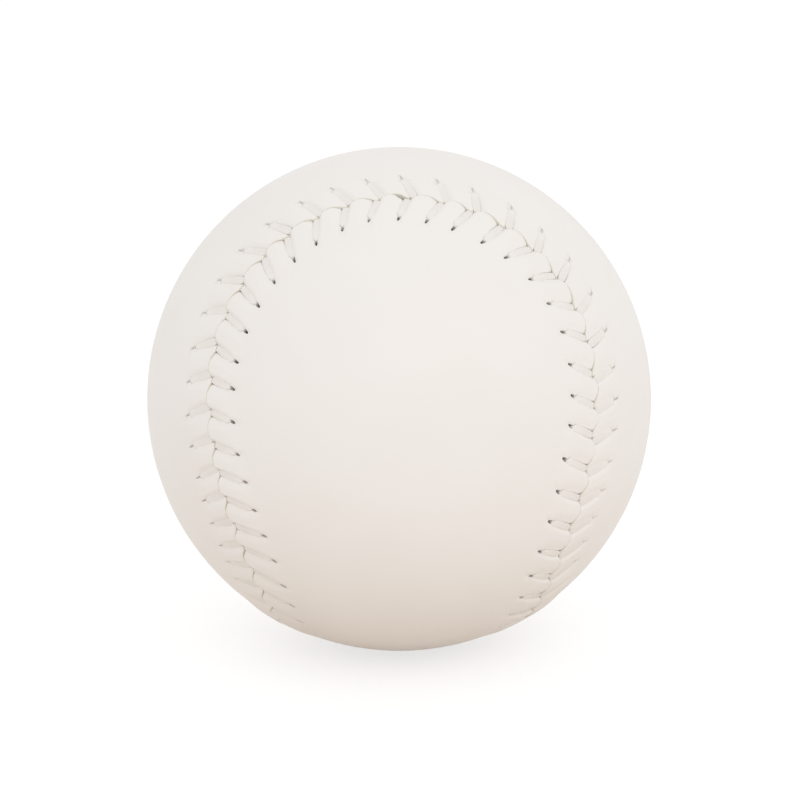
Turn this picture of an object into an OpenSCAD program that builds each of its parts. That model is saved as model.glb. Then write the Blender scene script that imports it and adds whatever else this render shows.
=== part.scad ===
/* [Ball] */
// Outside diameter of the finished ball
ball_d = 97; // [92:0.5:104]
// Thickness of the yarn winding on the core
yarn_t = 4.5; // [2:0.25:8]
// Thickness of the latex coat over the winding
latex_t = 0.4; // [0.2:0.05:0.8]

/* [Cover] */
// Thickness of the synthetic leather
cover_t = 2.4; // [1.8:0.1:3.4]
// Thickness of the cement film between a panel and the latex
cement_t = 0.2; // [0.1:0.05:0.4]
// Width of the pared edge that lies beyond the row of holes
edge_margin = 1.6; // [1:0.1:3]
// How far the seam swings out around each lobe
seam_swing = 0.47; // [0.42:0.01:0.52]
// How far the seam climbs towards each pole
seam_climb = 1.04; // [0.96:0.01:1.2]

/* [Stitching] */
// Stitches in each cover panel
stitches = 88; // [76:4:96]
// Distance of each row of holes from the seam
hole_offset = 6.4; // [5.5:0.1:7.5]
// How far along the seam a stitch runs ahead of its hole
stitch_lead = 2.1; // [1.4:0.1:2.8]
// Width of the flat waxed thread
thread_w = 1.2; // [0.8:0.1:1.5]
// Thickness of the flat waxed thread
thread_h = 0.6; // [0.4:0.05:0.8]
// Gap between the two threads where they go down the seam
strand_gap = 0.3; // [0.2:0.05:0.6]
// Length of each thread end, tucked under the leather
tail_l = 2.5; // [1.5:0.25:3.5]
// Clearance between thread and leather
thread_clear = 0.1; // [0.05:0.05:0.2]

/* [Hidden] */
$fn = 144;

// Sides of the thread's section
thread_sides = 6;
// Points along the seam where its length is measured, and corners that a panel's edge has
length_steps = 720;
edge_steps = 2 * stitches;

// Radii from the outside in
ball_r = ball_d / 2;
cover_r = ball_r - cover_t;
latex_r = cover_r - cement_t;
yarn_r = latex_r - latex_t;
core_r = yarn_r - yarn_t;
// A panel's sector reaches so far out that its flat cap stays outside the ball
reach = 2.4 * ball_r;

// The seam is a closed curve on the ball. Angle 0 is the top of the front lobe, and it runs to +X from there.
function raw_seam(a) = [
    sin(a) + seam_swing * sin(3 * a),
    -cos(a) + seam_swing * cos(3 * a),
    seam_climb * cos(2 * a)
];
function raw_slope(a) = [
    cos(a) + 3 * seam_swing * cos(3 * a),
    sin(a) - 3 * seam_swing * sin(3 * a),
    -2 * seam_climb * sin(2 * a)
];
function unit(v) = v / norm(v);
function seam(a) = unit(raw_seam(a));
function along(a) = unit(raw_slope(a) - (raw_slope(a) * seam(a)) * seam(a));
function to_front(a) = cross(along(a), seam(a));

// A direction from the ball's centre: d millimetres from the seam, and positive on the front panel
function aside(a, d) = seam(a) * cos(arc(d)) + to_front(a) * sin(arc(d));
function arc(d) = d / ball_r * 180 / PI;

// Length along the seam, as pairs of length and angle
seam_lengths = [
    for (i = 0, s = 0; i <= length_steps; s = s + seam_step(i), i = i + 1) [s, i * 360 / length_steps]
];
function seam_step(i) = ball_r * norm(seam((i + 1) * 360 / length_steps) - seam(i * 360 / length_steps));
seam_l = seam_lengths[length_steps][0];
function angle_at(s) = lookup(s - seam_l * floor(s / seam_l), seam_lengths);

// Stitch layout: the back row stands ahead of the front row, so that the two threads go down side by side
pitch = seam_l / stitches;
row_shift = thread_w + strand_gap;
function hole_at(side, k) = k * pitch - side * row_shift / 2;
hole_d = thread_w + 2 * thread_clear;

// The seam's gap takes the thread at the steepest slant that it has on its way under the leather
steepest = atan((pitch - stitch_lead + row_shift) / hole_offset);
seam_gap = norm([thread_w * sin(steepest), thread_h * cos(steepest)]) + 2 * thread_clear;

// A straight run of thread sags below the ball's curve by this much in its middle
function sag(l, r) = l * l / (8 * r);
over_l = norm([hole_offset, stitch_lead]);
under_l = hole_offset / cos(steepest);

// Thread centre above the leather, and in the channel under the leather's pared edge
over_r = ball_r + sag(over_l, ball_r) + thread_clear + thread_h / 2;
under_r = latex_r + thread_clear + sag(under_l, latex_r) + thread_h / 2;
edge_w = hole_offset + thread_w / 2 + edge_margin;
edge_r = under_r + thread_h / 2 + thread_clear + sag(edge_w / 2, ball_r);

module cork_core() {
    color("peru") sphere(r = core_r);
}

module yarn_winding() {
    color("lightgray") shell(yarn_r, core_r);
}

module latex_coat() {
    color("khaki") shell(latex_r, yarn_r);
}

module front_cement() {
    color("wheat") cement_film();
}

module back_cement() {
    color("wheat") to_back() cement_film();
}

module front_panel() {
    color("whitesmoke") cover_panel(1);
}

module back_panel() {
    color("whitesmoke") to_back() cover_panel(-1);
}

module first_thread() {
    color("ivory") thread(1);
}

module second_thread() {
    color("ivory") thread(-1);
}

module shell(outer_r, inner_r) {
    difference() {
        sphere(r = outer_r);
        sphere(r = inner_r);
    }
}

// Carries a piece of the front panel to the same place on the back panel
module to_back() {
    mirror([0, 0, 1]) rotate(90) children();
}

// The part of space that the front panel covers. levels are pairs of radius and inset from the seam, from the
// outside in, and the last one runs on to the ball's centre.
module sector(levels) {
    n = edge_steps;
    rings = [
        for (level = levels, i = [0:n - 1])
            level[0] * aside(i * 360 / n, level[1])
    ];
    steps = [
        for (j = [0:len(levels) - 2], i = [0:n - 1])
            each strip(j * n + i + 1, j * n + (i + 1) % n + 1, n)
    ];
    first = (len(levels) - 1) * n + 1;
    cone = [for (i = [0:n - 1]) [0, first + i, first + (i + 1) % n]];
    ends = [[1, n, 2], [n / 2 + 1, n / 2, n / 2 + 2]];
    cap = [for (i = [2:n / 2 - 1]) each [[i, n + 2 - i, i + 1], [n + 2 - i, n + 1 - i, i + 1]]];
    polyhedron([[0, 0, 0], each rings], [each steps, each cone, each ends, each cap]);
}
// Two triangles from points i and j of one ring to the same points of the next ring, n points on
function strip(i, j, n) = [[i + n, i, j], [i + n, j, j + n]];

module cement_film() {
    intersection() {
        shell(latex_r + cement_t, latex_r);
        sector([[reach, edge_w]]);
    }
}

// side is 1 for the front panel's holes and -1 for the back panel's
module cover_panel(side) {
    butt = seam_gap / 2;
    difference() {
        intersection() {
            shell(ball_r, cover_r);
            sector([[reach, butt], [edge_r, butt], [edge_r, (butt + edge_w) / 2], [edge_r, edge_w]]);
        }
        for (k = [0:stitches - 1])
            punched_hole(angle_at(hole_at(side, k)));
    }
}

module punched_hole(a) {
    axis = aside(a, hole_offset);
    polar = acos(axis.z);
    rotate([0, polar, atan2(axis.y, axis.x)])
        translate([0, 0, cover_r])
            cylinder(d = hole_d, h = 2 * cover_t);
}

// One needle's thread: up through a hole, over the leather, down the seam and under to the other panel's next hole
module thread(first_side) {
    rings = [
        start_ring(first_side),
        for (k = [0:stitches - 1]) each stitch_rings(k, first_side * (k % 2 == 0 ? 1 : -1)),
        end_ring(first_side * (stitches % 2 == 0 ? -1 : 1))
    ];
    tube(rings);
}

// Four bends of stitch k: under its hole, over its hole, over the seam and under the seam. The thread doubles back
// on itself in the hole, which turns its underside up.
function stitch_rings(k, side) =
    let (
        before = dive_point(-side, k - 1),
        hole = hole_point(side, k),
        dive = dive_point(side, k),
        after = hole_point(-side, k + 1)
    )
    [
        ring(under_r, hole, before, hole, -1, k),
        ring(over_r, hole, hole, dive, -1, k + 1),
        ring(over_r, dive, hole, dive, 1, k + 1),
        ring(under_r, dive, dive, after, 1, k + 1)
    ];
function hole_point(side, k) = aside(angle_at(hole_at(side, k)), side * hole_offset);
function dive_point(side, k) = seam(angle_at(hole_at(side, k) + stitch_lead));

// Both ends lie on the run that leads from the last stitch to the first hole, with a space between them
function start_ring(side) =
    let (
        before = dive_point(-side, -1),
        hole = hole_point(side, 0)
    )
    ring(under_r, tail_point(hole, before), before, hole, 0, 0);
function end_ring(side) =
    let (
        dive = dive_point(side, stitches - 1),
        after = hole_point(-side, stitches)
    )
    ring(under_r, tail_point(dive, after), dive, after, 0, stitches);
function tail_point(from, to) = unit(from + tail_l / under_r * unit(to - from));

// The thread's outline at one bend. tilt leans it along the run, so that the flat thread keeps its section, and
// flips counts the half turns that the thread has made so far.
function ring(r, centre, from, to, tilt, flips) =
    let (
        run = unit((to - from) - ((to - from) * centre) * centre),
        rise = centre + tilt * run,
        across = cross(centre, run)
    )
    [
        for (i = [0:thread_sides - 1])
            let (a = i * 360 / thread_sides + 180 * flips)
            r * centre + thread_w / 2 * cos(a) * across + thread_h / 2 * sin(a) * rise
    ];

// A closed skin over rings that all have thread_sides points
module tube(rings) {
    n = thread_sides;
    last = len(rings) - 1;
    skin = [
        for (j = [0:last - 1], i = [0:n - 1])
            each [
                [j * n + i, (j + 1) * n + i, j * n + (i + 1) % n],
                [j * n + (i + 1) % n, (j + 1) * n + i, (j + 1) * n + (i + 1) % n]
            ]
    ];
    start_cap = [for (i = [1:n - 2]) [0, i, i + 1]];
    end_cap = [for (i = [1:n - 2]) [last * n, last * n + i + 1, last * n + i]];
    polyhedron([for (r = rings) each r], [each skin, each start_cap, each end_cap]);
}

cork_core();
yarn_winding();
latex_coat();
front_cement();
back_cement();
front_panel();
back_panel();
first_thread();
second_thread();
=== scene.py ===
"""White stitched softball: two cover panels, two waxed threads and the wound cork core inside them."""

import math
from functools import partial

import bpy
import numpy as np
from bpy.props import FloatProperty, FloatVectorProperty, IntProperty, PointerProperty
from mathutils import Matrix, Vector


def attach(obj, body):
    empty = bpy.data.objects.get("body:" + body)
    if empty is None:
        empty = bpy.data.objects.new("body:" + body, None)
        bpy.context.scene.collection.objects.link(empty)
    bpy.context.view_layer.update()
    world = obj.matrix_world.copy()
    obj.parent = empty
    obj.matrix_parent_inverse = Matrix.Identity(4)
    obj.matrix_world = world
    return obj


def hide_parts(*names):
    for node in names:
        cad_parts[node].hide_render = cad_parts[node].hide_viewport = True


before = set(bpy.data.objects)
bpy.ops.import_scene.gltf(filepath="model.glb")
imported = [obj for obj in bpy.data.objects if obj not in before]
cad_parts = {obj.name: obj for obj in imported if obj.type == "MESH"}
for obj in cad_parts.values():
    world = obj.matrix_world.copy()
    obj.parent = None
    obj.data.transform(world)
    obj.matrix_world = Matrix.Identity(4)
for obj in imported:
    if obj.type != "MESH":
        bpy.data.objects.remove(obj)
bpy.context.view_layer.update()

bl_info = {
    "name": "Stitched softball",
    "version": (1, 0, 0),
    "blender": (4, 5, 0),
    "location": "View3D > Sidebar > Softball",
    "description": "Models a two-panel stitched ball with its threads, its wound core and a white stage",
    "category": "Mesh",
}

MM = 0.001
FRONT = 1
BACK = -1


def leave_edit_mode():
    if bpy.context.mode != "OBJECT":
        bpy.ops.object.mode_set(mode="OBJECT")


def points_of(obj):
    """An object's vertices as rows of x, y and z, after all that was done in edit mode."""
    leave_edit_mode()
    points = np.empty(3 * len(obj.data.vertices))
    obj.data.vertices.foreach_get("co", points)
    return points.reshape(-1, 3)


def node_radii(name):
    """Least and greatest distance of a CAD node's points from the ball's centre."""
    radii = np.linalg.norm(points_of(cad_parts[name]), axis=1)
    return float(radii.min()), float(radii.max())


def move_points(obj, points):
    """Puts an object's vertices at these places."""
    obj.data.vertices.foreach_set("co", np.ascontiguousarray(points, dtype=np.float32).ravel())
    obj.data.update()


def linear(hex_text):
    """Linear red, green and blue of an sRGB colour such as #F0EBE7, and 1 for solid."""
    parts = [int(hex_text[i:i + 2], 16) / 255 for i in (1, 3, 5)]
    return (*(c / 12.92 if c <= 0.04045 else ((c + 0.055) / 1.055) ** 2.4 for c in parts), 1)


def length(name, description, size):
    """A length that a user may change, in millimetres."""
    return FloatProperty(name=name, description=description, default=size * MM, unit="LENGTH")


def tint(name, description, hex_text):
    """A colour that a user may change."""
    return FloatVectorProperty(
        name=name, description=description, default=linear(hex_text), size=4, subtype="COLOR")


class BallSizes(bpy.types.PropertyGroup):
    """Sizes of the ball and its cover."""

    radius: FloatProperty(
        name="Ball radius", description="Centre to the outside of the cover",
        default=node_radii("front_panel")[1], unit="LENGTH")
    cover_radius: FloatProperty(
        name="Cover underside", description="Centre to the underside of the leather",
        default=node_radii("front_panel")[0], unit="LENGTH")
    edge_thickness: length(
        "Edge thickness", "Leather left at the pared edge, where the thread runs under it", 1.55)
    edge_width: length("Edge width", "Width of the pared edge", 8.6)
    band_width: length("Sewn band", "Width of the band that the stitches shape", 9)
    seam_swing: FloatProperty(
        name="Seam swing", description="How far the seam swings out around each lobe", default=0.47)
    seam_climb: FloatProperty(
        name="Seam climb", description="How far the seam climbs towards each pole", default=1.04)
    pillow: length("Pillow", "Height that the leather swells between the stitches", 0.34)
    valley: length("Valley", "How far the swollen leather falls towards each stitch", 0.42)
    scallop: length("Scallop", "How far the seam bows to the back between two stitches", 0.9)


class SewingSizes(bpy.types.PropertyGroup):
    """Sizes of the stitches."""

    stitches: IntProperty(name="Stitches", description="Stitches in each panel", default=88)
    hole_offset: length("Hole offset", "Distance of each row of holes from the seam", 6)
    hole_length: length("Hole length", "Length of a drawn-out needle hole", 1.85)
    hole_width: length("Hole width", "Width of a drawn-out needle hole", 0.86)
    lead: length("Stitch lead", "How far along the seam a stitch runs ahead of its hole", 1.95)
    row_shift: length("Row shift", "How far the back row stands ahead of the front row", 1.1)
    back_row: length("Back row", "How much further from the seam the back row of holes stands", 0.35)
    thread_at_hole: length("Thread at the hole", "Width of the thread where it leaves its hole", 0.75)
    thread_at_seam: length("Thread at the seam", "Width of the thread where it goes down the seam", 1.15)
    thread_spread: length("Spread thread", "Width of the thread where it lies flat on the leather", 1.3)
    thread_thickness: length("Thread thickness", "Thickness of the flat thread", 0.46)
    groove: length("Groove", "How deep a front stitch presses into the leather", 0.34)
    back_groove: length("Back groove", "How deep a back stitch presses into the leather", 0.38)
    seam_gap: length("Seam gap", "Gap between the panels where the threads go down", 0.18)
    start_gap: length("Starting gap", "Wider gap at the stitch where the sewing starts", 1)
    unevenness: length("Unevenness", "Largest difference in the place of a hand-sewn stitch", 0.4)
    wander: length("Wander", "How far the front row of holes wanders to and fro", 0.5)
    drift: length("Drift", "How far the stitches run ahead of even spacing beyond the lobe's top", 3.4)


class FinishColours(bpy.types.PropertyGroup):
    """Colours of the materials."""

    leather: tint("Leather", "White of the cover", "#F5F1EE")
    leather_shade: tint("Leather shade", "Second tone of the cover", "#F1ECE7")
    raw_edge: tint("Raw edge", "Cut edge of the leather", "#EEEADF")
    # Painted shade: the inside of a needle hole is coloured dark brown to stand for the shade in it
    hole: tint("Needle hole", "Inside of a needle hole", "#361C12")
    thread: tint("Thread", "Waxed cotton", "#F5F1ED")
    # The second thread tone: wax and dirt along the fibres, and painted shade where the thread nears the
    # seam
    thread_wax_and_painted_shade: tint("Thread shade", "Dirt and wax between the plies and beside the seam", "#EFEAE5")
    cork: tint("Cork", "Cork granules of the core", "#C39A6B")
    cork_shade: tint("Cork shade", "Darker cork granules", "#9A6B40")
    binder: tint("Binder", "Rubber between the granules", "#5B4030")
    yarn: tint("Yarn", "Wound yarn", "#E4E0D8")
    # Painted shade for the gaps between the strands
    yarn_gap_painted_shade: tint("Yarn shade", "Gaps between the strands", "#B5AFA4")
    latex: tint("Latex", "Thin places of the latex coat", "#EBE2C4")
    latex_shade: tint("Latex shade", "Thick runs of the latex coat", "#D9C793")
    cement: tint("Cement", "Dried rubber cement", "#E8D9B8")
    cement_shade: tint("Cement shade", "Thicker brush strokes of cement", "#CDB27E")


class Seam:
    """The closed seam line on the ball. s is the length along it, and d the distance to the front of it."""

    steps = 7200

    def __init__(self, ball):
        self.ball = ball
        self.angles = np.linspace(0, 2 * math.pi, self.steps + 1)
        chords = np.diff(self.points(self.angles), axis=0)
        self.lengths = ball.radius * np.append(0, np.cumsum(np.linalg.norm(chords, axis=1)))
        self.length = self.lengths[-1]

    def points(self, a):
        swing, climb = self.ball.seam_swing, self.ball.seam_climb
        x = np.sin(a) + swing * np.sin(3 * a)
        y = -np.cos(a) + swing * np.cos(3 * a)
        return unit(np.stack([x, y, climb * np.cos(2 * a)], axis=-1))

    def slopes(self, a):
        swing, climb = self.ball.seam_swing, self.ball.seam_climb
        x = np.cos(a) + 3 * swing * np.cos(3 * a)
        y = np.sin(a) - 3 * swing * np.sin(3 * a)
        return np.stack([x, y, -2 * climb * np.sin(2 * a)], axis=-1)

    def direction(self, s, d):
        """Unit directions from the ball's centre."""
        a = np.interp(np.mod(s, self.length), self.lengths, self.angles)
        on_seam = self.points(a)
        to_front = unit(np.cross(self.slopes(a), on_seam))
        turn = (d / self.ball.radius)[..., None]
        return on_seam * np.cos(turn) + to_front * np.sin(turn)


class StitchPlan:
    """Places on the cover, in the stitches' own terms.

    x runs along the seam and is a whole number of pitches on each stitch of a panel. v is the distance from
    the panel's edge. Lines of equal x lean as the stitches do.
    """

    seed = 12
    # The front row of holes wanders in waves, one of which starts here. row_share is its other unevenness.
    wander_waves = 10
    wander_start = -85 * MM
    row_share = 0.4
    # The sewing runs ahead everywhere but round one place, and hangs back round another
    drift_level = 0.3 * MM
    level_at = -26 * MM
    level_reach = (34 * MM, 74 * MM)
    behind = 0.8 * MM
    behind_at = -75 * MM
    behind_reach = (38 * MM, 50 * MM)
    # The seam bows most a little before the middle between two stitches. Its gap is narrow and uneven there
    # and opens at the threads and where the sewing starts.
    bow_skew = 0.85
    edge_reach = (0.5 * MM, 3.5 * MM)
    free_gap = 0.03 * MM
    gap_spread = 0.8
    gap_blend = 0.3 * MM
    start_at = 0.2 * MM
    start_reach = 1.1 * MM
    # A hole has closed on its thread from its ends, less at the far one, and from its sides. Past the thread
    # and some way down, a back hole has shut. shades are the least and the most painted shade in a hole of a
    # row.
    closing_size = {FRONT: 0.1 * MM, BACK: 0.2 * MM}
    closing_spread = 0.3 * MM
    closing_reach = 2 * MM
    far_share = 0.25
    near_share = 0.75
    pinch = {FRONT: 0.15, BACK: 0.48}
    pinch_reach = (0.5, 1.3)
    shut = 0.96
    shut_past = (0.45 * MM, 0.8 * MM)
    shut_down = (0.05 * MM, 0.4 * MM)
    shades = {FRONT: (0.1, 1), BACK: (0, 0.12)}
    # The thread spreads out from the seam and narrows again towards its hole
    spread_by = 2 * MM
    narrow_from = 2.2 * MM
    # Forms of the leather's top, which is even again some way past the holes. A front stitch leaves a notch.
    even_past = 1 * MM
    swell_spread = 0.3
    pillow_from = 3.2 * MM
    pillow_margin = 0.5 * MM
    roll_width = 0.28 * MM
    roll_depth = 0.18 * MM
    bank_ahead = 0.75 * MM
    bank_behind = 2 * MM
    valley_end = (-1 * MM, 2 * MM)
    notch = {FRONT: 0.22 * MM, BACK: 0}
    notch_end = (0.2 * MM, 1.4 * MM)
    trench_wall = (-0.02 * MM, 0.06 * MM)
    trench_end = (0.1 * MM, 0.6 * MM)
    dimple = 0.12 * MM
    dimple_fall = 2.2

    def __init__(self, context):
        self.ball = context.scene.softball_ball
        self.sewing = context.scene.softball_sewing
        self.seam = Seam(self.ball)
        self.pitch = self.seam.length / self.sewing.stitches
        self.hole_start = self.sewing.hole_offset - self.sewing.hole_length / 2
        self.groove = {FRONT: self.sewing.groove, BACK: self.sewing.back_groove}
        draw = np.random.default_rng(self.seed)
        count = self.sewing.stitches

        def draw_both(least):
            return {side: draw.uniform(least, 1, count) for side in (FRONT, BACK)}

        self.dive_draw = draw.uniform(-1, 1, count)
        self.hole_draw = draw_both(-1)
        self.row_draw = draw_both(-1)
        self.swell_draw = draw_both(-1)
        self.gap_draw = draw.uniform(-1, 1, count)
        self.closing_draw = draw_both(-1)
        self.shade_draw = draw_both(0)

    def uneven(self, s, draw):
        """One drawn number for each stitch, joined smoothly along the seam."""
        place = np.asarray(s) / self.pitch
        before = np.floor(place).astype(int)
        count = len(draw)
        return mix(draw[before % count], draw[(before + 1) % count], ease(0, 1, place - before))

    def level_s(self, x, v, side):
        """Length along the seam of an evenly sewn place."""
        sewing = self.sewing
        return x - side * sewing.row_shift / 2 + sewing.lead * (1 - v / sewing.hole_offset)

    def from_stitch(self, x):
        """Distance along the seam from the nearest stitch."""
        return from_nearest(x, self.pitch)

    def from_place(self, s, place):
        """Distance along the seam from one place on it, the shorter way round."""
        return from_nearest(s - place, self.seam.length)

    def from_hole(self, x, v):
        """Distance from the nearest needle hole's middle, on a scale where its rim is at a half."""
        past_middle = v - self.sewing.hole_offset
        return np.hypot(self.from_stitch(x) / self.sewing.hole_width, past_middle / self.sewing.hole_length)

    def edge_shift(self, x, side):
        """How far a panel's edge stands from the level seam line, because of the scallops and the gaps."""
        ball, sewing = self.ball, self.sewing
        half_thread = sewing.thread_at_seam / 2
        from_front = x if side == FRONT else x + sewing.row_shift
        free = self.pitch - 2 * half_thread
        along = np.clip(np.mod(from_front - half_thread, self.pitch) / free, 0, 1)
        bow = ball.scallop * (0.5 - np.sin(math.pi * along ** self.bow_skew))
        s = self.level_s(x, 0, side)
        between = self.free_gap / 2 * (1 + self.gap_spread * self.uneven(s, self.gap_draw))
        from_dives = np.abs(self.from_stitch(from_front - sewing.row_shift / 2))
        past_threads = from_dives - sewing.row_shift / 2 - half_thread
        opening = 1 - ease(-self.gap_blend, self.gap_blend, past_threads)
        start = np.exp(-(self.from_place(s, self.start_at) / self.start_reach) ** 2)
        half_gap = mix(between, sewing.seam_gap / 2, opening) + sewing.start_gap / 2 * start
        return side * bow + half_gap

    def drift(self, s):
        """How far the sewing has run ahead: stitches are closer up to the lobe's top and wider after it."""
        ahead = self.sewing.drift * ease(*self.level_reach, np.abs(self.from_place(s, self.level_at)))
        behind = self.behind * (1 - ease(*self.behind_reach, np.abs(self.from_place(s, self.behind_at))))
        return self.drift_level + ahead - behind

    def closing(self, s, v, side):
        """How far the leather has moved in on a hole from its far end, and back from its near end."""
        size = self.closing_size[side] + self.closing_spread * self.uneven(s, self.closing_draw[side])
        near, middle = self.hole_start, self.sewing.hole_offset
        far = middle + self.sewing.hole_length / 2
        from_far = ease(middle, far, v) * (1 - ease(far, self.ball.band_width, v))
        from_near = ease(near - self.closing_reach, near, v) * (1 - ease(near, middle, v))
        return size * (self.far_share * from_far - self.near_share * from_near)

    def pinched(self, x, v, height, side):
        """Places along the seam, drawn in where the leather has closed on a hole from its sides."""
        share = self.pinch[side]
        if side == BACK:
            past = ease(*self.shut_past, v - self.hole_start)
            share = mix(share, self.shut, past * ease(*self.shut_down, -height))
        return x - share * self.from_stitch(x) * (1 - ease(*self.pinch_reach, self.from_hole(x, v)))

    def hole_shade(self, x, side):
        """How much painted shade the inside of the nearest hole gets, little in the closed back row."""
        nearest = np.rint(x / self.pitch).astype(int) % self.sewing.stitches
        return mix(*self.shades[side], self.shade_draw[side][nearest])

    def row_shift(self, s, side):
        """How far a row of holes stands off its level line."""
        drawn = self.row_share * self.sewing.unevenness * self.uneven(s, self.row_draw[side])
        if side == BACK:
            return drawn + self.sewing.back_row
        turn = 2 * math.pi * (s - self.wander_start) / self.seam.length
        return drawn + self.sewing.wander * np.cos(self.wander_waves * turn)

    def place(self, x, v, height, side):
        """Points for places on a panel, as rows. height is measured from the ball's outside."""
        ball, sewing = self.ball, self.sewing
        x, v, height = np.broadcast_arrays(x, v, height)
        s = self.level_s(self.pinched(x, v, height, side), v, side)
        near_hole = np.clip(v / sewing.hole_offset, 0, 1)
        shift = mix(self.uneven(s, self.dive_draw), self.uneven(s, self.hole_draw[side]), near_hole)
        kept = 1 - ease(sewing.hole_offset + self.even_past, ball.band_width, v)
        s = s + sewing.unevenness * shift * kept + self.drift(s)
        d = v + self.edge_shift(x, side) * (1 - ease(*self.edge_reach, v))
        d = d + self.row_shift(s, side) * ease(0, 1, near_hole) * kept - self.closing(s, v, side)
        return (ball.radius + height)[..., None] * self.seam.direction(s, side * d)

    def thread_width(self, v):
        """Width of the thread at a distance from the edge."""
        sewing = self.sewing
        near_seam = mix(sewing.thread_at_seam, sewing.thread_spread, ease(0, self.spread_by, v))
        return mix(near_seam, sewing.thread_at_hole, ease(self.narrow_from, sewing.hole_offset, v))

    def leather_height(self, x, v, side):
        """Height of the leather over the level ball: pillows, the rolled edge, grooves and dimples."""
        ball, sewing = self.ball, self.sewing
        ahead = self.from_stitch(x) * math.cos(math.atan2(sewing.lead, sewing.hole_offset))
        past_thread = np.abs(ahead) - self.thread_width(v) / 2
        past_hole = v - self.hole_start
        swell = 1 + self.swell_spread * self.uneven(self.level_s(x, v, side), self.swell_draw[side])
        pillow = ball.pillow * swell * (1 - ease(self.pillow_from, ball.band_width - self.pillow_margin, v))
        roll = self.roll_depth * (1 - np.sqrt(1 - np.clip(1 - v / self.roll_width, 0, 1) ** 2))
        # The stitch draws the leather ahead of it into a steep bank and lets it lie flat behind
        bank = np.where(ahead > 0, self.bank_ahead, self.bank_behind)
        valley = ball.valley * (1 - ease(0, bank, past_thread)) * (1 - ease(*self.valley_end, past_hole))
        notch = self.notch[side] * (ahead < 0) * (1 - ease(*self.notch_end, v))
        trench = self.groove[side] * (1 - ease(*self.trench_wall, past_thread - notch))
        trench = trench * (1 - ease(*self.trench_end, past_hole))
        dimple = self.dimple * np.exp(-(self.dimple_fall * self.from_hole(x, v)) ** 2)
        return pillow - roll - valley - trench - dimple


def unit(rows):
    return rows / np.linalg.norm(rows, axis=-1, keepdims=True)


def ease(low, high, value):
    """0 below low, 1 above high and a smooth step between."""
    share = np.clip((value - low) / (high - low), 0, 1)
    return share * share * (3 - 2 * share)


def mix(a, b, share):
    return a + (b - a) * share


def from_nearest(value, step):
    """Distance from the nearest whole number of steps."""
    return np.mod(value + step / 2, step) - step / 2


def start_piece():
    """Leaves edit mode and deselects everything before a new primitive."""
    leave_edit_mode()
    bpy.ops.object.select_all(action="DESELECT")


def select(obj, wanted, edges=False):
    """Enters edit mode with these vertices selected and what lies between them, or with these edges."""
    leave_edit_mode()
    bpy.context.view_layer.objects.active = obj
    mesh = obj.data
    for group in (mesh.vertices, mesh.edges, mesh.polygons):
        group.foreach_set("select", np.zeros(len(group), bool))
    parts = mesh.edges if edges else mesh.vertices
    parts.foreach_set("select", np.full(len(parts), wanted, bool))
    bpy.context.tool_settings.mesh_select_mode = (not edges, edges, False)
    bpy.ops.object.mode_set(mode="EDIT")


def join(whole, *others):
    """Joins other meshes to a whole."""
    start_piece()
    for piece in (whole, *others):
        piece.select_set(True)
    bpy.context.view_layer.objects.active = whole
    bpy.ops.object.join()


def close_piece(piece, name, crease):
    """Turns the selected faces outwards, smooths all but the creases and names the piece."""
    bpy.ops.mesh.normals_make_consistent(inside=False)
    leave_edit_mode()
    bpy.ops.object.shade_smooth_by_angle(angle=crease)
    piece.name = name
    return piece


ROW_MERGE = 0.001


def repeat_along(obj, count, step):
    """Copies a tile along a straight row and joins the copies."""
    row = obj.modifiers.new("row", "ARRAY")
    row.count = count
    row.use_relative_offset = False
    row.use_constant_offset = True
    row.constant_offset_displace = step
    row.use_merge_vertices = True
    row.merge_threshold = ROW_MERGE
    bpy.ops.object.modifier_apply(modifier=row.name)


def paint(obj, name, values):
    """Stores one number for each vertex, which a material reads."""
    mark = obj.data.attributes.new(name, "FLOAT", "POINT")
    mark.data.foreach_set("value", np.ascontiguousarray(values, dtype=np.float32))


TILE_COLUMNS = 24
TILE_ROWS = 20
ROW_CROWDING = 1.6
# Half a tile's columns: on the thread, as shares of its half width, beside it, and evenly to the next tile
ON_THREAD = np.array([0, 0.55, 0.9])
BESIDE_THREAD = np.array([0, 0.06, 0.14, 0.28, 0.5, 0.8]) * MM
OPEN_COLUMNS = 4
# The block of faces that makes room for a needle hole
HOLE_COLUMNS = 16
HOLE_ROWS = (13, 19)
HOLE_REACH = 1.4 * MM
# A hole's collar as a share of the hole, the distance on from_hole's scale that takes it in, and the tunnel
# in steps of narrowing and depth
COLLAR = 1.12
HOLE_WITHIN = 0.6
TUNNEL = ((0.9, 0.03 * MM), (0.96, 0.1 * MM), (0.97, 0.3 * MM))
TUNNEL_SHARE = 0.75
# The underside has every fourth column, and the cut edge slants in under the top
UNDER_STRIDE = 4
EDGE_SLANT = 0.15 * MM
RIB_STEPS = 20
LEAST_ANGLE = 1e-6
# The flat tile is modelled a thousand times as large, where the edit tools can tell its loops apart
TILE_SCALE = 1 / MM
SLACK = 0.01 * MM
COVER_MERGE = 0.002 * MM
COVER_CREASE = math.radians(50)
# Depths between which the painted shade inside a hole deepens, and the width of the cut edge's colour
SHADE_DEPTHS = (0.1 * MM, 0.8 * MM)
CUT_WIDTH = 0.2 * MM


def column_places(plan, v):
    """A tile's columns in one row, closest along the thread's edges."""
    half = plan.thread_width(v) / 2
    beside = half + BESIDE_THREAD
    rest = np.linspace(beside[-1], plan.pitch / 2, OPEN_COLUMNS + 1)[1:]
    right = np.concatenate([ON_THREAD * half, beside, rest])
    return np.concatenate([-right[:0:-1], right])


def row_places(ball):
    """Rows of a tile, closest at the edge."""
    return ball.band_width * np.linspace(0, 1, TILE_ROWS + 1) ** ROW_CROWDING


def grid_step(places, count):
    """On which of so many steps a new grid's points lie, from one side to the other."""
    return np.rint((places + 1) / 2 * count).astype(int)


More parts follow.
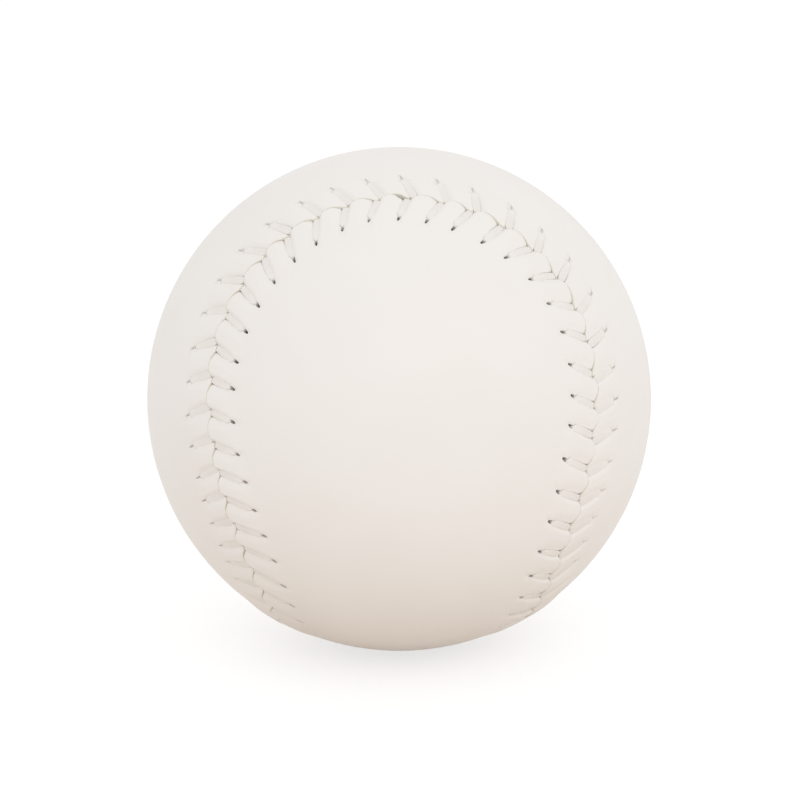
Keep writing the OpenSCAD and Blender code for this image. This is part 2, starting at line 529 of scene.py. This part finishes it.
def add_sheet(plan, rows, heights, stride=1):
    """A flat grid with rows at these distances from the edge and these heights, cut open for the hole."""
    columns = np.array([column_places(plan, v)[::stride] for v in rows])
    count = TILE_COLUMNS // stride
    start_piece()
    bpy.ops.mesh.primitive_grid_add(x_subdivisions=count, y_subdivisions=len(rows) - 1, size=2)
    sheet = bpy.context.object
    points = points_of(sheet)
    column = grid_step(points[:, 0], count)
    row = grid_step(points[:, 1], len(rows) - 1)
    move_points(sheet, TILE_SCALE * np.stack([columns[row, column], rows[row], heights[row]], axis=1))
    select(sheet, in_block(plan, sheet))
    bpy.ops.mesh.delete(type="FACE")
    return sheet


def tile_points(tile):
    """A flat tile's vertices in metres, as one row each of x, v and depth."""
    return points_of(tile).T / TILE_SCALE


def in_block(plan, tile):
    """Which vertices lie in or on the block that makes room for the needle hole."""
    x, v, _ = tile_points(tile)
    low, high = row_places(plan.ball)[list(HOLE_ROWS)]
    return (np.abs(x) < HOLE_REACH) & (v > low - SLACK) & (v < high + SLACK)


def leather_tile(plan):
    """One stitch's length of the cover's edge, flat: its top, hole, cut edge and underside."""
    ball, sewing = plan.ball, plan.sewing
    rows = row_places(ball)
    thickness = ball.edge_thickness
    block_rows = rows[HOLE_ROWS[0]:HOLE_ROWS[1] + 1]
    under_rows = np.concatenate([[EDGE_SLANT], block_rows, [ball.edge_width] * 2, [ball.band_width]])
    under_heights = np.full(len(under_rows), -thickness)
    under_heights[-2:] = ball.cover_radius - ball.radius
    under = add_sheet(plan, under_rows, under_heights, UNDER_STRIDE)
    tile = add_sheet(plan, rows, np.zeros(len(rows)))

    # The hole's collar is joined to the opening from below, where the bridge meets its face, and then raised
    hole_at = Vector((0, sewing.hole_offset * TILE_SCALE, -1))
    ring_size = COLLAR / 2 * TILE_SCALE * Vector((sewing.hole_width, sewing.hole_length, 0))
    ring_count = 2 * (HOLE_COLUMNS + HOLE_ROWS[1] - HOLE_ROWS[0])
    select(tile, False)
    bpy.ops.mesh.primitive_circle_add(vertices=ring_count, radius=1, location=hole_at)
    bpy.ops.transform.resize(value=(ring_size.x, ring_size.y, 1), center_override=hole_at)
    select(tile, in_block(plan, tile))
    bpy.ops.mesh.bridge_edge_loops()

    # The collar turns down and runs on as a tunnel to the underside
    x, v, _ = tile_points(tile)
    select(tile, plan.from_hole(x, v) < HOLE_WITHIN)
    bpy.ops.transform.translate(value=(0, 0, -hole_at.z))
    reached = 0
    for narrowing, drop in (*TUNNEL, (1, TUNNEL_SHARE * thickness)):
        step = {"value": (0, 0, (reached - drop) * TILE_SCALE)}
        bpy.ops.mesh.extrude_region_move(TRANSFORM_OT_translate=step)
        bpy.ops.transform.resize(value=(narrowing, narrowing, 1), center_override=hole_at)
        reached = drop

    # The underside is joined to the tunnel and to the cut edge
    join(tile, under)
    _, v, depth = tile_points(tile)
    deep = depth < SLACK - TUNNEL_SHARE * thickness
    select(tile, in_block(plan, tile) & deep)
    bpy.ops.mesh.bridge_edge_loops()
    select(tile, (np.abs(v) < SLACK) | (np.abs(v - EDGE_SLANT) < SLACK) & deep)
    bpy.ops.mesh.bridge_edge_loops()
    leave_edit_mode()
    return tile


def wrap_band(tile, plan, side):
    """Lays the row of tiles round the seam, marks its cut edge and paints shade inside its holes."""
    x, v, depth = tile_points(tile)
    kept = np.clip(1 + depth / plan.ball.edge_thickness, 0, 1)
    height = depth + kept * plan.leather_height(x, v, side)
    in_hole = plan.from_hole(x, v) < HOLE_WITHIN
    # Painted shade inside the holes, deeper down the tunnel and weaker in the back row
    paint(tile, "hole_painted_shade", in_hole * plan.hole_shade(x, side) * ease(*SHADE_DEPTHS, -depth))
    paint(tile, "cut_edge", 1 - ease(0, CUT_WIDTH, v))
    move_points(tile, plan.place(x, v, height, side))


def add_middle(plan, side, depth, stride=1):
    """The middle of a panel, inside its sewn band: ribs that cross the figure eight from edge to edge."""
    ball = plan.ball
    columns = column_places(plan, ball.band_width)[:-1:stride]
    x = (np.arange(plan.sewing.stitches)[:, None] * plan.pitch + columns).ravel()
    count = len(x)
    lobe_top = 0 if side == FRONT else plan.seam.length / 4
    # The first rib is a point midway between two stitches, where the columns stand far enough apart
    midway = np.arange(0, count, len(columns))
    from_top = plan.level_s(x[midway], ball.band_width, side) - lobe_top
    first = midway[np.argmin(np.abs(from_top))]
    edge = plan.place(x, ball.band_width, 0.0, side) / ball.radius

    start_piece()
    ribs = count // 2
    bpy.ops.mesh.primitive_grid_add(x_subdivisions=ribs, y_subdivisions=RIB_STEPS, size=2)
    middle = bpy.context.object
    points = points_of(middle)
    rib = grid_step(points[:, 0], ribs)
    share = ((points[:, 1] + 1) / 2)[:, None]
    start = edge[(first + rib) % count]
    end = edge[(first - rib) % count]
    angle = np.arccos(np.clip((start * end).sum(axis=1), -1, 1))[:, None]
    angle = np.maximum(angle, LEAST_ANGLE)
    across = (start * np.sin((1 - share) * angle) + end * np.sin(share * angle)) / np.sin(angle)
    move_points(middle, (ball.radius - depth) * unit(across))
    return middle


def cover_panel(name, plan, side):
    """A whole panel as one closed piece of leather."""
    ball = plan.ball
    tile = leather_tile(plan)
    repeat_along(tile, plan.sewing.stitches, (plan.pitch * TILE_SCALE, 0, 0))
    wrap_band(tile, plan, side)
    top = add_middle(plan, side, 0)
    underside = add_middle(plan, side, ball.radius - ball.cover_radius, UNDER_STRIDE)
    join(tile, top, underside)
    select(tile, True)
    bpy.ops.mesh.remove_doubles(threshold=COVER_MERGE)
    return close_piece(tile, name, COVER_CREASE)


THREAD_SIDES = 16
THREAD_CREASE = math.radians(60)
# The flat thread's section is a squared oval, which two furrows part into three plies
FLATNESS = 0.75
PLY_FURROW = 0.49
PLY_WIDTH = 0.15
PLY_DEPTH = 0.3
# A stitch's knots: arriving under its hole, in it, on the leg over the leather, in the gap and leaving
KNOTS = 12
ARRIVING = 0
IN_HOLE = slice(1, 4)
ON_LEG = slice(4, 10)
IN_GAP = 10
LEAVING = 11
RINGS_PER_KNOT = 3
# A knot's columns: its place, the direction across the thread, half its width and height, and its painted
# shade
PLACE = slice(0, 3)
ACROSS = slice(3, 6)
HALF_WIDTH = 6
HALF_HEIGHT = 7
SEAM_SHADE = 8
COLUMNS = 9
# Knots in the hole: how far past its near end, how high the upper two. On the leg: how far from the edge.
PAST_NEAR_END = (0.15 * MM, 0.13 * MM, 0.05 * MM)
UPPER_HEIGHTS = (-0.9 * MM, -0.28 * MM)
LEG_PLACES = np.array([5.1, 4.1, 2.9, 1.6, 0.7, 0.12]) * MM
GAP_HEIGHT = -1.2 * MM
UNDER_EDGE = 0.42 * MM
FOOT_LIFT = 0.2 * MM
REST = 0.02 * MM
# A front stitch fills its groove towards the hole and lies against the bank ahead of it. A back stitch fills
# its groove all along.
LEAN = {FRONT: 0.02 * MM, BACK: -0.04 * MM}
SPARE = {FRONT: (0.06 * MM, 0.12 * MM), BACK: (0.22 * MM, 0.15 * MM)}
SPARE_REACH = {FRONT: (1 * MM, 4 * MM), BACK: (2 * MM, 5 * MM)}
# Shares of the run from the seam to the next hole where the thread leaves, arrives and has its tucked end
LEAVES_AT = 0.13
ARRIVES_AT = 0.88
TUCKED_AT = 0.66
# How far the thread has turned over in the hole, and its width and height as shares of the full ones
HOLE_TURNS = (0, 0.3, 0.7, 1)
ARRIVING_WIDTH = 1.1
HOLE_WIDTHS = np.array([1, 0.9, 0.9])
GAP_WIDTHS = np.array([1, 0.75, 0.6])
HEIGHTS = np.array([0.9, 0.9, 0.9, 0.95, 1, 1, 1, 1, 1, 0.8, 0.55, 0.8])
# Distances from the edge over which the painted shade on a leg fades out
SEAM_SHADE_REACH = (0.5 * MM, 5 * MM)


def thread_knots(plan, first_side):
    """Places, widths and lie of one needle's thread, twelve for each stitch."""
    ball, sewing = plan.ball, plan.sewing
    number = np.arange(sewing.stitches)
    even = number % 2 == 0
    sides = first_side * np.where(even, 1, -1)
    flips = np.where(even, -1, 1)[:, None]
    half = sewing.thread_thickness / 2
    narrow = sewing.thread_at_hole / 2
    under = -(ball.edge_thickness + UNDER_EDGE)
    hole_v = plan.hole_start + half
    hole_heights = (under + FOOT_LIFT, *UPPER_HEIGHTS)
    knots = np.zeros((len(number), KNOTS, COLUMNS))
    far_foot = np.zeros((len(number), 3))
    for side in (FRONT, BACK):
        mine = sides == side
        x = number[mine] * plan.pitch
        for i, (past, height) in enumerate(zip(PAST_NEAR_END, hole_heights), IN_HOLE.start):
            knots[mine, i, PLACE] = plan.place(x, hole_v + past, height, side)
        for i, v in enumerate(LEG_PLACES, ON_LEG.start):
            height = plan.leather_height(x, np.full(len(x), v), side) + half + REST
            knots[mine, i, PLACE] = plan.place(x + LEAN[side], v, height, side)
        knots[mine, IN_GAP, PLACE] = plan.place(x, -sewing.seam_gap / 2, GAP_HEIGHT, side)
        far_foot[mine] = plan.place(x + plan.pitch, hole_v, under, -side)
        knots[mine, IN_HOLE, HALF_WIDTH] = HOLE_WIDTHS * narrow * (1 - plan.pinch[side])
        spare = mix(*SPARE[side], ease(*SPARE_REACH[side], LEG_PLACES))
        knots[mine, ON_LEG, HALF_WIDTH] = plan.thread_width(LEG_PLACES) / 2 + spare
    foot = knots[:, IN_HOLE.start, PLACE]
    gap = knots[:, IN_GAP, PLACE]

    def on_run(share):
        return (ball.radius + under) * unit(mix(unit(gap), unit(far_foot), share))

    knots[:, ARRIVING, PLACE] = np.roll(on_run(ARRIVES_AT), 1, axis=0)
    knots[:, LEAVING, PLACE] = on_run(LEAVES_AT)
    over = flips * unit(np.cross(foot, gap - foot))
    below = flips * unit(np.cross(gap, far_foot - gap))
    for i, turned in enumerate(HOLE_TURNS):
        knots[:, i, ACROSS] = mix(np.roll(below, 1, axis=0), over, turned)
    knots[:, ON_LEG, ACROSS] = over[:, None]
    knots[:, IN_GAP, ACROSS] = (over + below) / 2
    knots[:, LEAVING, ACROSS] = below
    knots[:, ARRIVING, HALF_WIDTH] = ARRIVING_WIDTH * narrow
    knots[:, ON_LEG.stop - 1:, HALF_WIDTH] = GAP_WIDTHS * sewing.thread_at_seam / 2
    knots[:, :, HALF_HEIGHT] = half * HEIGHTS
    # Painted shade on the legs: full at the seam, where the thread sinks between the panels, gone towards
    # the hole
    knots[:, ON_LEG, SEAM_SHADE] = 1 - ease(*SEAM_SHADE_REACH, LEG_PLACES)
    knots[:, IN_GAP:, SEAM_SHADE] = 1
    tucked_end = knots[:1, ARRIVING].copy()
    tucked_end[0, PLACE] = on_run(TUCKED_AT)[-1]
    return np.concatenate([tucked_end, knots.reshape(-1, COLUMNS)])


def smooth_through(knots, steps):
    """Rows on a smooth curve through the knots, with so many steps between two knots."""
    gaps = np.linalg.norm(np.diff(knots[:, PLACE], axis=0), axis=1)
    slopes = np.gradient(knots, np.append(0, np.cumsum(gaps)), axis=0)
    f = (np.arange(steps) / steps)[None, :, None]
    reach = gaps[:, None, None]
    curve = (
        (1 + 2 * f) * (1 - f) ** 2 * knots[:-1, None]
        + f * (1 - f) ** 2 * reach * slopes[:-1, None]
        + f * f * (3 - 2 * f) * knots[1:, None]
        + f * f * (f - 1) * reach * slopes[1:, None]
    )
    return np.concatenate([curve.reshape(-1, knots.shape[1]), knots[-1:]])


def sewn_thread(name, plan, first_side):
    """One needle's thread as a flat tube, laid stitch by stitch over and under the leather."""
    rings_per_stitch = KNOTS * RINGS_PER_KNOT
    start_piece()
    bpy.ops.mesh.primitive_cylinder_add(vertices=THREAD_SIDES, radius=1, depth=1, end_fill_type="NOTHING")
    thread = bpy.context.object
    ends = np.empty(2 * len(thread.data.edges), int)
    thread.data.edges.foreach_get("vertices", ends)
    heights = points_of(thread)[ends.reshape(-1, 2), 2]
    select(thread, heights[:, 0] != heights[:, 1], edges=True)
    bpy.ops.mesh.subdivide(number_cuts=rings_per_stitch - 1)
    leave_edit_mode()
    repeat_along(thread, plan.sewing.stitches, (0, 0, 1))

    curve = smooth_through(thread_knots(plan, first_side), RINGS_PER_KNOT)
    centre = curve[:, PLACE]
    run = unit(np.gradient(centre, axis=0))
    across = curve[:, ACROSS]
    across = unit(across - (across * run).sum(axis=1, keepdims=True) * run)
    rise = np.cross(run, across)
    points = points_of(thread)
    ring = np.rint((points[:, 2] + 0.5) * rings_per_stitch).astype(int)
    flat = np.sign(points[:, :2]) * np.abs(points[:, :2]) ** FLATNESS
    flat[:, 1] *= 1 - PLY_DEPTH * np.exp(-((np.abs(flat[:, 0]) - PLY_FURROW) / PLY_WIDTH) ** 2)
    sideways = (flat[:, 0] * curve[ring, HALF_WIDTH])[:, None]
    upwards = (flat[:, 1] * curve[ring, HALF_HEIGHT])[:, None]
    so_far = np.append(0, np.cumsum(np.linalg.norm(np.diff(centre, axis=0), axis=1)))
    lay = thread.data.attributes.new("lay", "FLOAT_VECTOR", "POINT")
    places = np.stack([so_far[ring], flat[:, 0] * MM, flat[:, 1] * MM], axis=1)
    lay.data.foreach_set("vector", places.astype(np.float32).ravel())
    # Painted shade near the seam, which the thread's material reads
    paint(thread, "near_seam", curve[ring, SEAM_SHADE])
    move_points(thread, centre[ring] + sideways * across[ring] + upwards * rise[ring])

    select(thread, True)
    bpy.ops.mesh.fill_holes(sides=THREAD_SIDES)
    return close_piece(thread, name, THREAD_CREASE)


def add_node(tree, kind, output=None, inputs=None, **settings):
    """Adds a node and gives the output that is named, or the node. An input takes a value or an output."""
    node = tree.nodes.new(kind)
    for name, value in settings.items():
        setattr(node, name, value)
    for name, value in (inputs or {}).items():
        if isinstance(value, bpy.types.NodeSocket):
            tree.links.new(value, node.inputs[name])
        else:
            node.inputs[name].default_value = value
    return node.outputs[output] if output else node


def clear_nodes(owner):
    """Clears the nodes of a material or a world and gives the function that adds new ones."""
    owner.use_nodes = True
    owner.node_tree.nodes.clear()
    return partial(add_node, owner.node_tree)


def new_material(name, surface, values):
    """A node material. surface adds its nodes from these values and gives the last one's output."""
    material = bpy.data.materials.new(name)
    add = clear_nodes(material)
    add("ShaderNodeOutputMaterial", inputs={"Surface": surface(add, values)})
    return material


def per_mm(size):
    """A texture's scale for a pattern that repeats after this many millimetres."""
    return 1 / (size * MM)


def synthetic_leather(add, colours):
    """Coated synthetic leather, rolled smooth: warm white satin with a very fine grain and a beige cut."""
    place = add("ShaderNodeTexCoord", "Object")
    clouds = add("ShaderNodeTexNoise", "Fac", {"Vector": place, "Scale": per_mm(16), "Detail": 3})
    tone = add(
        "ShaderNodeMix", "Result",
        {"Factor": clouds, "A": colours.leather, "B": colours.leather_shade}, data_type="RGBA")
    # The cut edge gets its own colour, and the needle holes get painted shade
    for mark, cut_colour_and_hole_shade in (("cut_edge", colours.raw_edge), ("hole_painted_shade", colours.hole)):
        share = add("ShaderNodeAttribute", "Fac", attribute_name=mark)
        tone = add("ShaderNodeMix", "Result", {"Factor": share, "A": tone, "B": cut_colour_and_hole_shade}, data_type="RGBA")
    grain = add(
        "ShaderNodeTexVoronoi", "Distance", {"Vector": place, "Scale": per_mm(0.7)}, feature="SMOOTH_F1")
    bump = add("ShaderNodeBump", "Normal", {"Height": grain, "Strength": 0.12, "Distance": 0.05 * MM})
    sheen = add("ShaderNodeMapRange", "Result", {"Value": clouds, "To Min": 0.42, "To Max": 0.52})
    return add(
        "ShaderNodeBsdfPrincipled", "BSDF",
        {"Base Color": tone, "Roughness": sheen, "Normal": bump, "IOR": 1.46})


def waxed_cotton(add, colours):
    """Flat waxed cotton: off-white plies with fine fibre lines along them and a dull wax gloss."""
    lay = add("ShaderNodeAttribute", "Vector", attribute_name="lay")
    stretched = add("ShaderNodeMapping", "Vector", {"Vector": lay, "Scale": (0.18, 1, 1)})
    fibres = add(
        "ShaderNodeTexNoise", "Fac",
        {"Vector": stretched, "Scale": per_mm(0.3), "Detail": 3, "Roughness": 0.6})
    # Painted shade near the seam, where the thread sinks between the panels, adds to the fibres' tone
    near_seam = add("ShaderNodeAttribute", "Fac", attribute_name="near_seam")
    fibres_and_painted_shade = add("ShaderNodeMath", "Value", {0: fibres, 1: near_seam}, operation="ADD", use_clamp=True)
    tone = add(
        "ShaderNodeMix", "Result",
        {"Factor": fibres_and_painted_shade, "A": colours.thread, "B": colours.thread_wax_and_painted_shade}, data_type="RGBA")
    bump = add("ShaderNodeBump", "Normal", {"Height": fibres, "Strength": 0.5, "Distance": 0.06 * MM})
    return add(
        "ShaderNodeBsdfPrincipled", "BSDF",
        {"Base Color": tone, "Roughness": 0.55, "Normal": bump, "IOR": 1.45})


def bound_cork(add, colours):
    """Cork granules moulded with rubber: matt tan and brown grains of 2 to 3 mm in a dark binder."""
    place = add("ShaderNodeTexCoord", "Object")
    granules = {"Vector": place, "Scale": per_mm(2.6)}
    grains = add("ShaderNodeTexVoronoi", "Color", granules)
    joints = add("ShaderNodeTexVoronoi", "Distance", granules, feature="DISTANCE_TO_EDGE")
    inside = add("ShaderNodeMapRange", "Result", {"Value": joints, "From Min": 0.02, "From Max": 0.1})
    tone = add(
        "ShaderNodeMix", "Result",
        {"Factor": grains, "A": colours.cork, "B": colours.cork_shade}, data_type="RGBA")
    base = add(
        "ShaderNodeMix", "Result", {"Factor": inside, "A": colours.binder, "B": tone}, data_type="RGBA")
    bump = add("ShaderNodeBump", "Normal", {"Height": inside, "Strength": 0.5, "Distance": 0.15 * MM})
    return add("ShaderNodeBsdfPrincipled", "BSDF", {"Base Color": base, "Roughness": 0.8, "Normal": bump})


def wound_yarn(add, colours):
    """Fine twisted yarn, wound tight: dull, fuzzy patches of parallel strands that cross each other."""
    place = add("ShaderNodeTexCoord", "Object")
    patches = add("ShaderNodeTexVoronoi", "Color", {"Vector": place, "Scale": per_mm(24)})
    turns = add("ShaderNodeVectorMath", "Vector", {0: patches, "Scale": 2 * math.pi}, operation="SCALE")
    turned = add(
        "ShaderNodeVectorRotate", "Vector", {"Vector": place, "Rotation": turns}, rotation_type="EULER_XYZ")
    # A wave texture of scale 1 repeats after a tenth of pi
    strands = add(
        "ShaderNodeTexWave", "Fac",
        {"Vector": turned, "Scale": per_mm(0.9) * math.pi / 10, "Distortion": 0.6})
    fuzz = add("ShaderNodeTexNoise", "Fac", {"Vector": place, "Scale": per_mm(0.4), "Detail": 4})
    height = add("ShaderNodeMix", "Result", {"Factor": 0.25, "A": strands, "B": fuzz}, data_type="FLOAT")
    # The strands' low places, the gaps between them, get painted shade
    tone = add(
        "ShaderNodeMix", "Result",
        {"Factor": height, "A": colours.yarn_gap_painted_shade, "B": colours.yarn}, data_type="RGBA")
    bump = add("ShaderNodeBump", "Normal", {"Height": height, "Strength": 0.8, "Distance": 0.4 * MM})
    return add(
        "ShaderNodeBsdfPrincipled", "BSDF",
        {"Base Color": tone, "Roughness": 0.9, "Normal": bump, "Sheen Weight": 0.3})


def dried_film(add, pale, dark, stretch, noise, depth, roughness):
    """A film that has dried: two tones and a low relief from one stretched noise."""
    place = add("ShaderNodeTexCoord", "Object")
    drawn = add("ShaderNodeMapping", "Vector", {"Vector": place, "Scale": stretch})
    film = add("ShaderNodeTexNoise", "Fac", {"Vector": drawn, **noise})
    tone = add("ShaderNodeMix", "Result", {"Factor": film, "A": pale, "B": dark}, data_type="RGBA")
    bump = add("ShaderNodeBump", "Normal", {"Height": film, "Strength": 0.4, "Distance": depth})
    return add(
        "ShaderNodeBsdfPrincipled", "BSDF",
        {"Base Color": tone, "Roughness": roughness, "IOR": 1.52, "Normal": bump})


def dipped_latex(add, colours):
    """Natural latex that the wound ball was dipped in: a honey-coloured satin, darker where it has run."""
    runs = {"Scale": per_mm(7), "Detail": 3}
    return dried_film(
        add, colours.latex, colours.latex_shade, (1, 1, 0.35), runs, depth=0.3 * MM, roughness=0.35)


def dried_cement(add, colours):
    """Rubber cement, brushed on and dried: amber and a little glossy, with the streaks of the brush."""
    streaks = {"Scale": per_mm(1.8), "Detail": 4, "Roughness": 0.6}
    return dried_film(
        add, colours.cement, colours.cement_shade, (1, 0.15, 1), streaks, depth=0.1 * MM, roughness=0.42)


def finish_nodes(context, name, surface, *nodes):
    """Gives solids of the frame their material and leaves their shapes alone."""
    material = new_material(name, surface, context.scene.softball_colours)
    for node in nodes:
        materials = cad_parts[node].data.materials
        materials.clear()
        materials.append(material)


class SOFTBALL_OT_core(bpy.types.Operator):
    """Finishes the moulded cork core"""

    bl_idname = "softball.core"
    bl_label = "Cork core"

    def execute(self, context):
        finish_nodes(context, "rubber_bound_cork", bound_cork, "cork_core")
        return {"FINISHED"}


class SOFTBALL_OT_winding(bpy.types.Operator):
    """Finishes the yarn winding"""

    bl_idname = "softball.winding"
    bl_label = "Yarn winding"

    def execute(self, context):
        finish_nodes(context, "wound_cotton_yarn", wound_yarn, "yarn_winding")
        return {"FINISHED"}


class SOFTBALL_OT_latex(bpy.types.Operator):
    """Finishes the latex coat"""

    bl_idname = "softball.latex"
    bl_label = "Latex coat"

    def execute(self, context):
        finish_nodes(context, "dipped_natural_latex", dipped_latex, "latex_coat")
        return {"FINISHED"}


class SOFTBALL_OT_cement(bpy.types.Operator):
    """Finishes the two cement films"""

    bl_idname = "softball.cement"
    bl_label = "Cement films"

    def execute(self, context):
        finish_nodes(context, "dried_rubber_cement", dried_cement, "front_cement", "back_cement")
        return {"FINISHED"}


class SOFTBALL_OT_cover(bpy.types.Operator):
    """Models the two cover panels with their holes and pillows"""

    bl_idname = "softball.cover"
    bl_label = "Cover panels"

    def execute(self, context):
        plan = StitchPlan(context)
        leather = new_material("white_synthetic_leather", synthetic_leather, context.scene.softball_colours)
        for node, side in (("front_panel", FRONT), ("back_panel", BACK)):
            panel = cover_panel("sewn_" + node, plan, side)
            panel.data.materials.append(leather)
            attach(panel, "root")
            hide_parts(node)
        return {"FINISHED"}


class SOFTBALL_OT_threads(bpy.types.Operator):
    """Models the two waxed threads along their stitches"""

    bl_idname = "softball.threads"
    bl_label = "Waxed threads"

    def execute(self, context):
        plan = StitchPlan(context)
        cotton = new_material("waxed_cotton_thread", waxed_cotton, context.scene.softball_colours)
        for node, side in (("first_thread", FRONT), ("second_thread", BACK)):
            thread = sewn_thread("sewn_" + node, plan, side)
            thread.data.materials.append(cotton)
            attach(thread, "root")
            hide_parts(node)
        return {"FINISHED"}


class SOFTBALL_OT_stage(bpy.types.Operator):
    """Makes the floor, the light and the camera"""

    bl_idname = "softball.stage"
    bl_label = "White stage"

    def execute(self, context):
        ball = context.scene.softball_ball
        add_floor(ball)
        add_sky(context)
        add_lamp()
        add_camera(context, ball)
        context.scene.view_settings.view_transform = "Standard"
        return {"FINISHED"}


WHITE = linear("#FFFFFF")
FLOOR_SIDE = 6.0
# The floor's tone close to the ball and further off, between so many ball radii, and the one that is seen
FLOOR_NEAR = "#E7D9CA"
FLOOR_FAR = "#F8F5F1"
FLOOR_RADII = (0.5, 3)
FLOOR_SEEN = "#F4F4F4"
GLOW = 1.25
GLOW_SHARE = 0.55
SKY_LIGHT = 0.87
LAMP_PLACE = Vector((0.36, -1.0, 0.8))
LAMP_SIZE = 0.9
LAMP_WATTS = 2.1


def seen_directly(add):
    """1 for rays from the camera, and for reflections and glass, which show the same white."""
    path = add("ShaderNodeLightPath").outputs
    seen = path["Is Camera Ray"]
    for ray in ("Is Glossy Ray", "Is Transmission Ray"):
        seen = add("ShaderNodeMath", "Value", {0: seen, 1: path[ray]}, operation="MAXIMUM")
    return seen


def matt_floor(add, ball):
    """Matt white paint that throws light back on the ball, warmest from close by."""
    place = add("ShaderNodeTexCoord", "Object")
    from_ball = add("ShaderNodeVectorMath", "Value", {0: place}, operation="LENGTH")
    near, far = (radii * ball.radius for radii in FLOOR_RADII)
    share = add("ShaderNodeMapRange", "Result", {"Value": from_ball, "From Min": near, "From Max": far})
    tone = add(
        "ShaderNodeMix", "Result",
        {"Factor": share, "A": linear(FLOOR_NEAR), "B": linear(FLOOR_FAR)}, data_type="RGBA")
    bounce = add("ShaderNodeBsdfDiffuse", "BSDF", {"Color": tone})
    matt = add("ShaderNodeBsdfDiffuse", "BSDF", {"Color": linear(FLOOR_SEEN)})
    white = add("ShaderNodeEmission", "Emission", {"Strength": GLOW})
    shown = add("ShaderNodeMixShader", "Shader", {"Fac": GLOW_SHARE, 1: matt, 2: white})
    return add("ShaderNodeMixShader", "Shader", {"Fac": seen_directly(add), 1: bounce, 2: shown})


def add_floor(ball):
    """A wide, plain floor under the ball."""
    start_piece()
    bpy.ops.mesh.primitive_plane_add(size=FLOOR_SIDE, location=(0, 0, -ball.radius))
    floor = bpy.context.object
    floor.name = "floor"
    floor.data.materials.append(new_material("matt_white_floor", matt_floor, ball))


def add_sky(context):
    """Even studio light from all round, and plain white where the camera looks past the floor."""
    world = bpy.data.worlds.new("studio")
    add = clear_nodes(world)
    light = add("ShaderNodeBackground", "Background", {"Color": WHITE, "Strength": SKY_LIGHT})
    white = add("ShaderNodeBackground", "Background", {"Color": WHITE, "Strength": 1})
    sky = add("ShaderNodeMixShader", "Shader", {"Fac": seen_directly(add), 1: light, 2: white})
    add("ShaderNodeOutputWorld", inputs={"Surface": sky})
    context.scene.world = world


def add_lamp():
    """One large soft box above the camera."""
    bpy.ops.object.light_add(type="AREA", location=LAMP_PLACE)
    lamp = bpy.context.object
    lamp.name = "soft_box"
    lamp.data.shape = "DISK"
    lamp.data.size = LAMP_SIZE
    lamp.data.energy = LAMP_WATTS
    lamp.rotation_euler = (-LAMP_PLACE).to_track_quat("-Z", "Y").to_euler()


VIEW_DISTANCE = 10
VIEW_AZIMUTH = math.radians(-1.15)
VIEW_ELEVATION = math.radians(14.06)
VIEW_ROLL = math.radians(-0.7)
FRAME_PIXELS = 800
BALL_PIXELS = 252
BALL_CENTRE = (399.1, 398.8)
SENSOR_WIDTH = 36
NEAR_CLIP = 0.01


def add_camera(context, ball):
    """The photograph's camera: its direction, its distance in ball radii and the ball's place in view."""
    bpy.ops.object.camera_add()
    camera = bpy.context.object
    camera.name = "photo_camera"
    focal_pixels = BALL_PIXELS * math.sqrt(VIEW_DISTANCE ** 2 - 1)
    camera.data.sensor_width = SENSOR_WIDTH
    camera.data.lens = focal_pixels / FRAME_PIXELS * SENSOR_WIDTH
    camera.data.clip_start = NEAR_CLIP
    camera.data.shift_x = (FRAME_PIXELS / 2 - BALL_CENTRE[0]) / FRAME_PIXELS
    camera.data.shift_y = (BALL_CENTRE[1] - FRAME_PIXELS / 2) / FRAME_PIXELS
    back = Vector((
        math.sin(VIEW_AZIMUTH) * math.cos(VIEW_ELEVATION),
        -math.cos(VIEW_AZIMUTH) * math.cos(VIEW_ELEVATION),
        math.sin(VIEW_ELEVATION),
    ))
    camera.location = back * VIEW_DISTANCE * ball.radius
    aim = (-back).to_track_quat("-Z", "Y").to_matrix()
    camera.rotation_euler = (aim @ Matrix.Rotation(VIEW_ROLL, 3, "Z")).to_euler()
    context.scene.camera = camera


class SOFTBALL_PT_pieces(bpy.types.Panel):
    """Lists the ball's pieces and sizes"""

    bl_idname = "SOFTBALL_PT_pieces"
    bl_label = "Stitched softball"
    bl_space_type = "VIEW_3D"
    bl_region_type = "UI"
    bl_category = "Softball"

    def draw(self, context):
        layout = self.layout
        for operator in OPERATORS:
            layout.operator(operator.bl_idname)
        for owner in GROUPS:
            box = layout.box()
            group = getattr(context.scene, owner)
            for name in group.__annotations__:
                box.prop(group, name)


OPERATORS = (
    SOFTBALL_OT_core, SOFTBALL_OT_winding, SOFTBALL_OT_latex, SOFTBALL_OT_cement, SOFTBALL_OT_cover,
    SOFTBALL_OT_threads, SOFTBALL_OT_stage,
)
GROUPS = {"softball_ball": BallSizes, "softball_sewing": SewingSizes, "softball_colours": FinishColours}


def register():
    for made in (*GROUPS.values(), *OPERATORS, SOFTBALL_PT_pieces):
        bpy.utils.register_class(made)
    for name, group in GROUPS.items():
        setattr(bpy.types.Scene, name, PointerProperty(type=group))


def unregister():
    for name in GROUPS:
        delattr(bpy.types.Scene, name)
    for made in (SOFTBALL_PT_pieces, *OPERATORS, *GROUPS.values()):
        bpy.utils.unregister_class(made)


def main():
    register()
    bpy.ops.softball.core()
    bpy.ops.softball.winding()
    bpy.ops.softball.latex()
    bpy.ops.softball.cement()
    bpy.ops.softball.cover()
    bpy.ops.softball.threads()
    bpy.ops.softball.stage()


if __name__ == "__main__":
    main()
